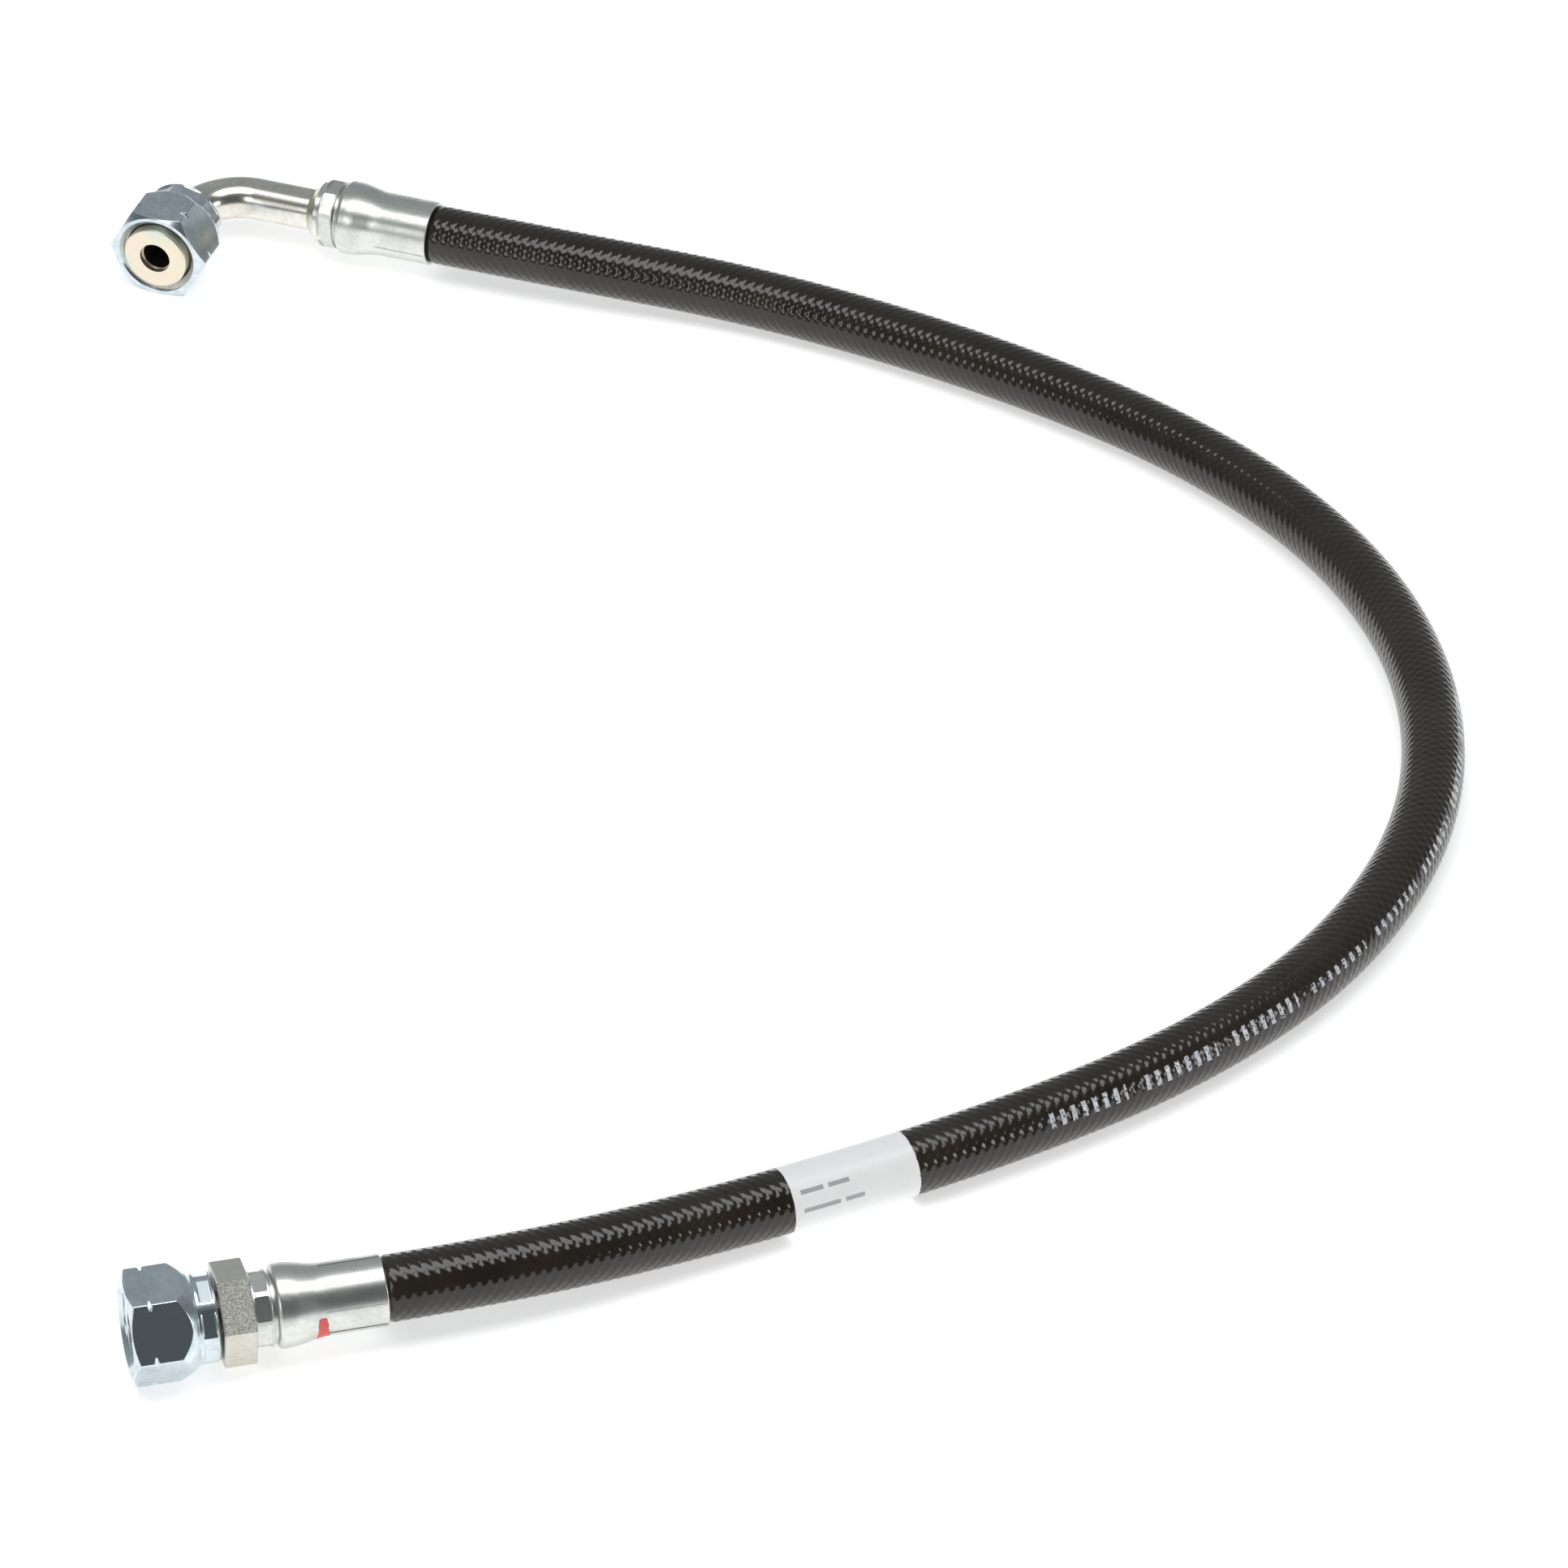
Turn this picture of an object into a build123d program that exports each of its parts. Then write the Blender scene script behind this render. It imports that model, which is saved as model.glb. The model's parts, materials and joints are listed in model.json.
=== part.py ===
from build123d import *
import math
import os

os.makedirs("parts", exist_ok=True)

# Hydraulic hose assembly. All lengths are in millimetres.
# The origin is the centre of the seal face of the straight end B. +X runs from that
# face into the hose, and +Z is up. End A is a 90 degree elbow at the hose's far end.

# ---- Hose -------------------------------------------------------------------------
hose_od = 17.5
hose_bore = 9.5
core_wall = 1.6
cover_wall = 1.0
squeeze = 0.55  # how far a ferrule presses the cover in, on the radius
cover_flare = 1.5  # length over which the cover swells again behind a ferrule

# ---- Ferrule ----------------------------------------------------------------------
ferrule_length = 29.0
ferrule_wall = 1.3
ferrule_front_wall = 2.0
bulge_rise = 5.0  # length of the cone between the crimped length and the bulge
bulge_height = 1.6  # on the radius, over the crimped length
bulge_rear_round = 14.0
bulge_front_round = 1.4  # at most, and less where the step to the groove is low
front_round_share = 0.8
crimp_round = 18.0
lip_chamfer = 0.5
edge_round = 0.3
groove_width = 1.0
groove_wall = 1.7  # metal left over the lock groove
band_length = 5.0
band_wall = 2.7  # metal of the band over the lock groove
jaw_count = 8
jaw_depth = 0.55
jaw_margin = 0.6
jaw_corner = 0.5
ridge_height = 0.15
ridge_width = 0.45

# ---- Nipple -----------------------------------------------------------------------
nipple_bore = 7.2
tail_tip = 2.0  # distance from the ferrule's rear lip to the tail's tip
tail_lead = 4.0  # smooth length behind the tip
tail_relief = 1.0  # smooth length between the last barb and the flange
barb_pitch = 3.0
barb_land = 0.6
barb_depth = 0.35
flange_length = 5.0
flange_height = 1.1  # on the radius, over the lock groove
flange_gap = 0.4  # least radial gap between the flange and the ferrule
lock_wall = 1.15  # metal of the lock groove over the tube's outside

# ---- End B: straight, one-piece nipple with a body hexagon -------------------------
body_hex_af = 24.0
body_hex_length = 8.6
body_hex_turn = 46.5
body_hex_chamfer = 0.3

# ---- End A: bent tube brazed to a nipple and to a seal sleeve ----------------------
tube_od = 12.7
tube_wall = 1.85
bend_radius = 17.5
leg_straight = 18.7  # straight tube between the collar and the bend
bend_in_nut = 1.0  # how much of the bend's first part is inside nut A
collar_wall = 2.95
collar_length = 3.5
collar_chamfer = 2.0
socket_depth = 7.5
socket_cone = 1.0
braze_size = 1.0
braze_hollow = 0.3

# ---- Swivel nut, alike at both ends -------------------------------------------------
nut_af = 27.0
nut_length = 23.0
nut_hex_length = 12.3
nut_collar_length = 5.4
nut_collar_step = 1.5  # from the hexagon's flats in to the collar
nut_front_step = 0.3  # from the hexagon's flats in to the front face's rim
nut_chamfer_angle = 30.0
nut_rear_chamfer = 0.6
notch_place = 5.5
notch_width = 1.4
notch_floor = 0.4
notch_depth = 0.8
thread_pitch = 1.5
thread_wall = 2.5  # from the thread's outside diameter to the hexagon's flats
thread_length = 9.0
countersink_rise = 1.2  # on the radius, over the thread's outside diameter
relief_depth = 0.612  # on the radius, over the thread's inside diameter
shoulder_chamfer = 1.0
swivel_gap = 0.4  # radial gap between a nut's collar and what turns in it
end_float = 0.3  # axial play of nut B behind its seal head
hex_gap = 0.6  # gap between nut B and the body hexagon
sleeve_proud = 1.0  # how far seal face A stands out of nut A, which is pushed back
jaw_turn_b = 39.0
jaw_turn_a = 51.0
nut_jaw_turn = 30.0
cut_past = 1.0  # how far a cutting solid passes the face that it cuts

# ---- Seal head, alike at both ends --------------------------------------------------
head_gap = 0.288  # radial gap between the seal head and the thread
head_length = 5.8
head_chamfer = 0.3
port_wall = 0.3  # by which the port's radius is larger than the tube's bore
port_depth = 2.0

# ---- Label ---------------------------------------------------------------------------
label_wall = 0.15
label_start = 132.7  # along the hose from its cut end B
label_length = 36.1

# ---- Derived sizes ---------------------------------------------------------------------
hose_r = hose_od / 2
core_r = hose_bore / 2 + core_wall
outer_braid_r = hose_r - cover_wall
inner_braid_r = (core_r + outer_braid_r) / 2
crimp_r = hose_r - squeeze

neck_r = tube_od / 2
tube_bore_r = neck_r - tube_wall
lock_r = neck_r + lock_wall
flange_r = lock_r + flange_height
groove_r = lock_r + groove_wall
band_r = lock_r + band_wall
collar_r = neck_r + collar_wall
bulge_cavity_r = max(crimp_r + bulge_height, flange_r + flange_gap)
bulge_r = bulge_cavity_r + ferrule_wall

thread_major_r = nut_af / 2 - thread_wall
thread_minor_r = thread_major_r - 0.5413 * thread_pitch
countersink_r = thread_major_r + countersink_rise
relief_r = thread_minor_r + relief_depth
nut_collar_r = nut_af / 2 - nut_collar_step
head_r = thread_minor_r - head_gap
port_r = tube_bore_r + port_wall

# ---- Derived places --------------------------------------------------------------------
# Places along a fitting count from its ferrule's rear lip towards its nut.
hose_insertion = ferrule_length - ferrule_front_wall - flange_length
bulge_start = hose_insertion - bulge_rise
flange_front = hose_insertion + flange_length
band_start = ferrule_length + groove_width
ferrule_front = band_start + band_length
collar_front = ferrule_front + collar_length
socket_floor = collar_front - socket_depth
barb_room = hose_insertion - tail_tip - tail_lead - tail_relief
barb_count = math.floor(barb_room / barb_pitch)
fitting_b_length = ferrule_front + body_hex_length + hex_gap + nut_collar_length
fitting_b_length += end_float + head_length
nut_shoulder = nut_length - nut_collar_length
outlet_straight = nut_length + sleeve_proud - bend_in_nut
floor_gap = 0.25
lying_z = hose_r + floor_gap - nut_af / 2

# The hose's centreline. x and y count from the hose's cut end inside ferrule B, and z
# from the axis of end B. Both ends leave their ferrule straight and level.
cut_end_b = Vector(fitting_b_length - hose_insertion, 0, 0)
route = [
    (0.0, 0.0, 0.0),
    (52.5, 0.0, 0.0),
    (116.0, 12.5, lying_z),
    (188.5, 27.5, lying_z),
    (253.0, 49.0, lying_z),
    (307.0, 84.0, lying_z),
    (346.0, 136.0, lying_z),
    (363.0, 197.5, lying_z),
    (357.5, 260.5, lying_z),
    (330.0, 320.5, lying_z),
    (284.0, 375.0, lying_z),
    (225.0, 427.0, lying_z),
    (162.5, 458.5, 0.0),
    (115.5, 489.0, 0.0),
]
arc_share = 0.45
points = [cut_end_b + Vector(*p) for p in route]


def corner_radius(before, corner, after):
    """The largest arc that uses arc_share of the shorter run at this corner."""
    turn = math.radians((corner - before).get_angle(after - corner))
    shorter = min((corner - before).length, (after - corner).length)
    return arc_share * shorter / math.tan(turn / 2)


radii = [corner_radius(*points[i - 1 : i + 2]) for i in range(1, len(points) - 1)]


with BuildLine() as centreline:
    FilletPolyline(points, radius=radii)
route_wire = centreline.line.wires()[0]


def across_hose(length):
    """The plane square to the hose at this length from its cut end B."""
    place = route_wire.position_at(length, PositionMode.LENGTH)
    return Plane(origin=place, z_dir=route_wire.tangent_at(length, PositionMode.LENGTH))


def facing(origin, direction):
    """A plane across a fitting's axis: its z is the axis, and its y is up."""
    return Plane(origin=origin, x_dir=Vector(0, 0, 1).cross(direction), z_dir=direction)


def lengthwise(frame):
    """The plane of a turned profile: its x is the radius and its y is the axis."""
    return Plane(origin=frame.origin, x_dir=frame.x_dir, z_dir=-frame.y_dir)


def spun(frame, angle):
    """The same plane turned about the fitting's axis."""
    turn = math.radians(angle)
    across = frame.x_dir * math.cos(turn) + frame.y_dir * math.sin(turn)
    return Plane(origin=frame.origin, x_dir=across, z_dir=frame.z_dir)


# Each end has a plane at its ferrule's rear lip, whose z points towards the nut, and
# one at its seal face, whose z points out of the fitting.
nose_b = (points[0] - points[1]).normalized()
rear_b = facing(points[0] - nose_b * hose_insertion, nose_b)
face_b = facing(rear_b.origin + nose_b * fitting_b_length, nose_b)

nose_a = (points[-1] - points[-2]).normalized()
rear_a = facing(points[-1] - nose_a * hose_insertion, nose_a)
outlet_a = Vector(0, 0, 1).cross(nose_a)
elbow_corner = rear_a.origin + nose_a * (collar_front + leg_straight + bend_radius)
face_a = facing(elbow_corner + outlet_a * (bend_radius + outlet_straight), outlet_a)

mouth_b = face_b.offset(nut_shoulder - head_length - end_float)
mouth_a = face_a.offset(-sleeve_proud)


# ---- Hose layers ---------------------------------------------------------------------
def tube_layer(name, inner_r, outer_r, last_point=len(points)):
    """One concentric layer of the hose, along the whole route or its first points."""
    with BuildPart() as layer:
        with BuildLine() as path:
            FilletPolyline(points[:last_point], radius=radii[: last_point - 2])
        with BuildSketch(Plane(origin=points[0], z_dir=-nose_b)):
            Circle(outer_r)
            Circle(inner_r, mode=Mode.SUBTRACT)
        sweep(path=path.line)
    layer.part.label = name
    return layer.part


core_tube = tube_layer("core_tube", hose_bore / 2, core_r)
export_step(core_tube, "parts/core_tube.step")

inner_braid = tube_layer("inner_braid", core_r, inner_braid_r)
export_step(inner_braid, "parts/inner_braid.step")

outer_braid = tube_layer("outer_braid", inner_braid_r, outer_braid_r)
export_step(outer_braid, "parts/outer_braid.step")


def turned(frame, outline, rounds=()):
    """A solid turned about a fitting's axis from (radius, place along the axis) points."""
    with BuildPart() as body:
        with BuildSketch(lengthwise(frame)) as profile:
            with BuildLine():
                Polyline(outline, close=True)
            make_face()
            for corner, radius in rounds:
                fillet(profile.vertices().sort_by_distance(corner)[0], radius)
        revolve(axis=Axis(frame.origin, frame.z_dir))
    return body.part


def crimp_cut(frame):
    """What a ferrule presses out of the cover, as a ring."""
    swell = squeeze / (bulge_cavity_r - crimp_r) * bulge_rise
    return turned(
        frame,
        [
            (hose_r, -cover_flare),
            (crimp_r, 0),
            (crimp_r, bulge_start),
            (hose_r, bulge_start + swell),
            (hose_r + cut_past, bulge_start + swell),
            (hose_r + cut_past, -cover_flare),
        ],
    )


with BuildPart() as cover:
    add(tube_layer("cover", outer_braid_r, hose_r))
    add(crimp_cut(rear_b), mode=Mode.SUBTRACT)
    add(crimp_cut(rear_a), mode=Mode.SUBTRACT)
cover.part.label = "cover"
export_step(cover.part, "parts/cover.step")

with BuildPart() as label_sleeve:
    add(tube_layer("label_sleeve", hose_r, hose_r + label_wall, last_point=5))
    split(bisect_by=across_hose(label_start), keep=Keep.TOP)
    split(bisect_by=across_hose(label_start + label_length), keep=Keep.BOTTOM)
label_sleeve.part.label = "label_sleeve"
export_step(label_sleeve.part, "parts/label_sleeve.step")


# ---- Crimp marks -----------------------------------------------------------------------
def jaw_pockets(frame, start, length, outer_r, turn):
    """The flats that a crimping tool's jaws press into a collar, as solids to cut out."""
    flat_r = outer_r - jaw_depth
    flat_width = 2 * math.sqrt(outer_r**2 - flat_r**2)
    middle = frame.offset(start + length / 2)
    with BuildPart() as pockets:
        for jaw in range(jaw_count):
            side = spun(middle, turn + 360 * jaw / jaw_count)
            flat = side.origin + side.x_dir * flat_r
            with BuildSketch(Plane(origin=flat, x_dir=side.y_dir, z_dir=side.x_dir)):
                RectangleRounded(flat_width, length - 2 * jaw_margin, jaw_corner)
            extrude(amount=2 * jaw_depth)
    return pockets.part


def crimp_ridges(frame, turn):
    """Thin lines of metal that stand up between the jaws along a ferrule."""
    with BuildPart(spun(frame.offset(lip_chamfer), turn)) as ridges:
        with PolarLocations(crimp_r + ferrule_wall, jaw_count, 180 / jaw_count):
            Box(
                2 * ridge_height,
                ridge_width,
                bulge_start - 2 * lip_chamfer,
                align=(Align.CENTER, Align.CENTER, Align.MIN),
            )
    return ridges.part


# ---- Ferrules --------------------------------------------------------------------------
def make_ferrule(name, frame, turn):
    """A shell crimped over the hose, with its band pressed into the nipple's groove."""
    rear_r = crimp_r + ferrule_wall
    bulge_top = flange_front - bulge_rise / 2
    front_round = min(bulge_front_round, front_round_share * (bulge_r - groove_r))
    shell = turned(
        frame,
        [
            (crimp_r + lip_chamfer, 0),
            (crimp_r, lip_chamfer),
            (crimp_r, bulge_start),
            (bulge_cavity_r, hose_insertion),
            (bulge_cavity_r, flange_front),
            (lock_r, flange_front),
            (lock_r, ferrule_front),
            (band_r, ferrule_front),
            (band_r, band_start),
            (groove_r, band_start),
            (groove_r, ferrule_length),
            (bulge_r, ferrule_length),
            (bulge_r, bulge_top),
            (rear_r, bulge_start),
            (rear_r, 0),
        ],
        rounds=[
            ((bulge_r, ferrule_length), front_round),
            ((bulge_r, bulge_top), bulge_rear_round),
            ((rear_r, bulge_start), crimp_round),
            ((band_r, ferrule_front), edge_round),
            ((band_r, band_start), edge_round),
            ((rear_r, 0), edge_round),
        ],
    )
    with BuildPart() as ferrule:
        add(shell)
        add(crimp_ridges(frame, turn))
        marks = jaw_pockets(frame, band_start, band_length, band_r, turn)
        add(marks, mode=Mode.SUBTRACT)
    ferrule.part.label = name
    return ferrule.part


ferrule_b = make_ferrule("ferrule_b", rear_b, jaw_turn_b)
export_step(ferrule_b, "parts/ferrule_b.step")

ferrule_a = make_ferrule("ferrule_a", rear_a, jaw_turn_a)
export_step(ferrule_a, "parts/ferrule_a.step")


# ---- Nipples ---------------------------------------------------------------------------
def tail_outline():
    """The barbed tail, the flange and the lock groove, from the tip to the band's front."""
    tail_r = hose_bore / 2
    last_barb = hose_insertion - tail_relief
    first_barb = last_barb - barb_count * barb_pitch
    outline = [(nipple_bore / 2, tail_tip), (tail_r - barb_depth, tail_tip)]
    for barb in range(barb_count):
        start = first_barb + barb * barb_pitch
        outline += [
            (tail_r - barb_depth, start),
            (tail_r, start + barb_pitch - barb_land),
            (tail_r, start + barb_pitch),
        ]
    outline += [
        (tail_r - barb_depth, last_barb),
        (tail_r - barb_depth, hose_insertion),
        (flange_r, hose_insertion),
        (flange_r, flange_front),
        (lock_r, flange_front),
        (lock_r, ferrule_front),
    ]
    return outline


head_rear_b = fitting_b_length - head_length
port_floor_b = fitting_b_length - port_depth
hex_corner_turn = body_hex_turn - 30
with BuildPart() as hose_nipple_b:
    with BuildSketch(rear_b.offset(ferrule_front)):
        RegularPolygon(body_hex_af / 2, 6, major_radius=False, rotation=hex_corner_turn)
    extrude(amount=body_hex_length)
    chamfer(hose_nipple_b.edges().filter_by(Plane.YZ), body_hex_chamfer)
    stem = tail_outline() + [
        (neck_r, ferrule_front),
        (neck_r, head_rear_b),
        (head_r, head_rear_b),
        (head_r, fitting_b_length - head_chamfer),
        (head_r - head_chamfer, fitting_b_length),
        (port_r, fitting_b_length),
        (port_r, port_floor_b),
        (nipple_bore / 2, port_floor_b),
    ]
    add(turned(rear_b, stem))
    with BuildSketch(rear_b.offset(ferrule_front)):
        Circle(nipple_bore / 2)
    extrude(amount=body_hex_length, mode=Mode.SUBTRACT)
hose_nipple_b.part.label = "hose_nipple_b"
export_step(hose_nipple_b.part, "parts/hose_nipple_b.step")

hose_nipple_a = turned(
    rear_a,
    tail_outline()
    + [
        (collar_r, ferrule_front),
        (collar_r, collar_front - collar_chamfer),
        (collar_r - collar_chamfer, collar_front),
        (neck_r, collar_front),
        (neck_r, socket_floor),
        (tube_bore_r, socket_floor),
        (nipple_bore / 2, socket_floor - socket_cone),
    ],
)
hose_nipple_a.label = "hose_nipple_a"
export_step(hose_nipple_a, "parts/hose_nipple_a.step")

# ---- Elbow -----------------------------------------------------------------------------
tube_ends = [
    rear_a.origin + nose_a * socket_floor,
    elbow_corner,
    face_a.origin - outlet_a * port_depth,
]
with BuildPart() as elbow_tube_a:
    with BuildLine() as bend:
        FilletPolyline(tube_ends, radius=bend_radius)
    with BuildSketch(Plane(origin=tube_ends[0], z_dir=nose_a)):
        Circle(neck_r)
        Circle(tube_bore_r, mode=Mode.SUBTRACT)
    sweep(path=bend.line)
elbow_tube_a.part.label = "elbow_tube_a"
export_step(elbow_tube_a.part, "parts/elbow_tube_a.step")

seal_sleeve_a = turned(
    face_a,
    [
        (port_r, 0),
        (head_r - head_chamfer, 0),
        (head_r, -head_chamfer),
        (head_r, -head_length),
        (neck_r, -head_length),
        (neck_r, -port_depth),
        (port_r, -port_depth),
    ],
)
seal_sleeve_a.label = "seal_sleeve_a"
export_step(seal_sleeve_a, "parts/seal_sleeve_a.step")


def braze_ring(name, frame, place, side):
    """A hollow fillet of brazing metal round the tube, against a face at this place."""
    ring = turned(
        frame,
        [
            (neck_r, place),
            (neck_r + braze_size, place),
            (neck_r + braze_hollow, place + side * braze_hollow),
            (neck_r, place + side * braze_size),
        ],
    )
    ring.label = name
    return ring


nipple_braze_a = braze_ring("nipple_braze_a", rear_a, collar_front, 1)
export_step(nipple_braze_a, "parts/nipple_braze_a.step")

sleeve_braze_a = braze_ring("sleeve_braze_a", face_a, -head_length, -1)
export_step(sleeve_braze_a, "parts/sleeve_braze_a.step")


# ---- Swivel nuts -----------------------------------------------------------------------
def make_nut(name, mouth):
    """A swivel nut whose rear collar was crimped in behind the seal head."""
    corner_r = nut_af / math.sqrt(3)
    front_r = nut_af / 2 - nut_front_step
    front_depth = (corner_r - front_r) * math.tan(math.radians(nut_chamfer_angle))
    thread_start = countersink_r - thread_minor_r
    thread_end = thread_start + thread_length
    collar_bore_r = neck_r + swivel_gap
    notch_r = corner_r - notch_depth
    outside = turned(
        mouth,
        [
            (0, 0),
            (front_r, 0),
            (corner_r, -front_depth),
            (corner_r, -notch_place + notch_width / 2),
            (notch_r, -notch_place + notch_floor / 2),
            (notch_r, -notch_place - notch_floor / 2),
            (corner_r, -notch_place - notch_width / 2),
            (corner_r, -nut_hex_length),
            (nut_collar_r, -nut_shoulder),
            (nut_collar_r, -nut_length + nut_rear_chamfer),
            (nut_collar_r - nut_rear_chamfer, -nut_length),
            (0, -nut_length),
        ],
    )
    inside = turned(
        mouth,
        [
            (0, cut_past),
            (countersink_r + cut_past, cut_past),
            (thread_minor_r, -thread_start),
            (thread_minor_r, -thread_end),
            (relief_r, -thread_end - relief_depth),
            (relief_r, -nut_shoulder),
            (collar_bore_r + shoulder_chamfer, -nut_shoulder),
            (collar_bore_r, -nut_shoulder - shoulder_chamfer),
            (collar_bore_r, -nut_length - cut_past),
            (0, -nut_length - cut_past),
        ],
    )
    with BuildPart() as nut:
        with BuildSketch(mouth):
            RegularPolygon(nut_af / 2, 6, major_radius=False)
        extrude(amount=-nut_length)
        add(outside, mode=Mode.INTERSECT)
        add(inside, mode=Mode.SUBTRACT)
        collar_start = -nut_length + nut_rear_chamfer / 2
        marks = jaw_pockets(
            mouth,
            collar_start,
            nut_collar_length - nut_rear_chamfer,
            nut_collar_r,
            nut_jaw_turn,
        )
        add(marks, mode=Mode.SUBTRACT)
    nut.part.label = name
    return nut.part


swivel_nut_b = make_nut("swivel_nut_b", mouth_b)
export_step(swivel_nut_b, "parts/swivel_nut_b.step")

swivel_nut_a = make_nut("swivel_nut_a", mouth_a)
export_step(swivel_nut_a, "parts/swivel_nut_a.step")

# ---- Check of the swept tube -------------------------------------------------------------
core_section = math.pi * (core_r**2 - (hose_bore / 2) ** 2)
expected = core_section * route_wire.length
print("arc radii", [round(r) for r in radii])
print("hose length", round(route_wire.length, 1))
print("core tube volume", round(core_tube.volume), "section x length", round(expected))
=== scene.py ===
import json
import math

import bpy
import numpy as np
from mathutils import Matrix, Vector
from mathutils.bvhtree import BVHTree


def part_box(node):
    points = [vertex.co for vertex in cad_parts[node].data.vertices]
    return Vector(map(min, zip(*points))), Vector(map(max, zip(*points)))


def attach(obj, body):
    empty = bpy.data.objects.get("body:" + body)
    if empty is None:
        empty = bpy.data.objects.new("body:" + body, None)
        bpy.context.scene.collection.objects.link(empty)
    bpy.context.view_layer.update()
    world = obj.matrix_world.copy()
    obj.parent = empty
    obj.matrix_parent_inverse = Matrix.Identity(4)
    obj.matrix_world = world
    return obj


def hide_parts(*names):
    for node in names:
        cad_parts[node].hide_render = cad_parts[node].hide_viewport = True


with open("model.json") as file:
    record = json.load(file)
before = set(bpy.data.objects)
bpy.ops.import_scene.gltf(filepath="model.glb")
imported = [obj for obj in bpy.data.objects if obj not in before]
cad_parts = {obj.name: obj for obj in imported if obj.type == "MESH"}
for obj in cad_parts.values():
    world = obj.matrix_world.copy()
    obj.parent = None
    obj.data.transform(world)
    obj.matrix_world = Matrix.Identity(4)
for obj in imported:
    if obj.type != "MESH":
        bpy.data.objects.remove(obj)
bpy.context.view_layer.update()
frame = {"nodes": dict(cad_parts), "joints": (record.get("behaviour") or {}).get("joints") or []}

MM = 0.001
UP = Vector((0, 0, 1))

# ---- Camera ---------------------------------------------------------------------------
camera = bpy.data.objects.new("camera", bpy.data.cameras.new("camera"))
bpy.context.scene.collection.objects.link(camera)
camera.data.sensor_width = 36.0
camera.data.lens = 201.2
camera.location = (-0.2435, -1.6951, 1.4676)
sight = Vector((0.18525, 0.77469, -0.60460))
camera.rotation_euler = sight.to_track_quat("-Z", "Y").to_euler()
bpy.context.scene.camera = camera
bpy.context.scene.view_settings.view_transform = "Standard"


# ---- Node materials -------------------------------------------------------------------
class Material:
    """A Principled material, with short calls for the nodes that feed it."""

    def __init__(self, name, coordinates="Object", **sockets):
        self.material = bpy.data.materials.new(name)
        self.material.use_nodes = True
        self.tree = self.material.node_tree
        self.shader = self.tree.nodes["Principled BSDF"]
        self.place = self.node("ShaderNodeTexCoord").outputs[coordinates]
        for socket, value in sockets.items():
            self.shader.inputs[socket.replace("_", " ")].default_value = value

    def node(self, kind, **settings):
        node = self.tree.nodes.new(kind)
        for name, value in settings.items():
            setattr(node, name, value)
        return node

    def join(self, value, socket):
        if isinstance(value, bpy.types.NodeSocket):
            self.tree.links.new(value, socket)
        else:
            socket.default_value = value

    def math(self, operation, a, b=0.0, c=0.0):
        node = self.node("ShaderNodeMath", operation=operation)
        for value, socket in zip((a, b, c), node.inputs):
            self.join(value, socket)
        return node.outputs[0]

    def noise(self, scale, detail=3.0, rough=0.5, stretch=None, place=None):
        place = place or self.place
        if stretch is not None:
            mapping = self.node("ShaderNodeMapping")
            turn, size = stretch
            mapping.inputs["Rotation"].default_value = turn
            mapping.inputs["Scale"].default_value = size
            self.join(place, mapping.inputs["Vector"])
            place = mapping.outputs[0]
        node = self.node("ShaderNodeTexNoise")
        node.inputs["Scale"].default_value = scale
        node.inputs["Detail"].default_value = detail
        node.inputs["Roughness"].default_value = rough
        self.join(place, node.inputs["Vector"])
        return node.outputs["Fac"]

    def spread(self, value, low, high, lowest=0.3, highest=0.7):
        node = self.node("ShaderNodeMapRange")
        self.join(value, node.inputs["Value"])
        for name, number in (
            ("From Min", lowest), ("From Max", highest), ("To Min", low), ("To Max", high)
        ):
            node.inputs[name].default_value = number
        return node.outputs["Result"]

    def mix(self, share, first, second):
        node = self.node("ShaderNodeMix", data_type="RGBA")
        self.join(share, node.inputs[0])
        self.join(first, node.inputs[6])
        self.join(second, node.inputs[7])
        return node.outputs[2]

    def bump(self, height, distance, strength=1.0):
        node = self.node("ShaderNodeBump")
        node.inputs["Distance"].default_value = distance
        node.inputs["Strength"].default_value = strength
        self.join(height, node.inputs["Height"])
        self.join(node.outputs[0], self.shader.inputs["Normal"])

    def feed(self, value, socket):
        self.join(value, self.shader.inputs[socket])


def colour(red, green, blue):
    return (red, green, blue, 1.0)


def plated_metal(name, shade, stain, roughness, turn, grain=0.5):
    """A plated, turned metal with cloudy stains and fine lines round its axis."""
    metal = Material(name, Metallic=1.0)
    cloud = metal.noise(110, 4, 0.6)
    blotch = metal.noise(650, 4, 0.65)
    lines = metal.noise(300, 2, 0.5, stretch=(turn, (9.0, 0.5, 0.5)))
    mottle = metal.math("MULTIPLY_ADD", blotch, 0.45, metal.math("MULTIPLY", cloud, 0.55))
    metal.feed(metal.mix(metal.spread(mottle, 0.0, 1.0, 0.38, 0.62), shade, stain), "Base Color")
    metal.feed(metal.spread(mottle, roughness * 0.8, roughness * 1.3), "Roughness")
    fine = metal.math("MULTIPLY_ADD", lines, grain, metal.math("MULTIPLY", cloud, 0.8))
    metal.bump(fine, 0.02 * MM, 0.25)
    return metal


def dress(thing, material):
    """Gives an object this one material."""
    material = getattr(material, "material", material)
    thing.data.materials.clear()
    thing.data.materials.append(material)


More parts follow.
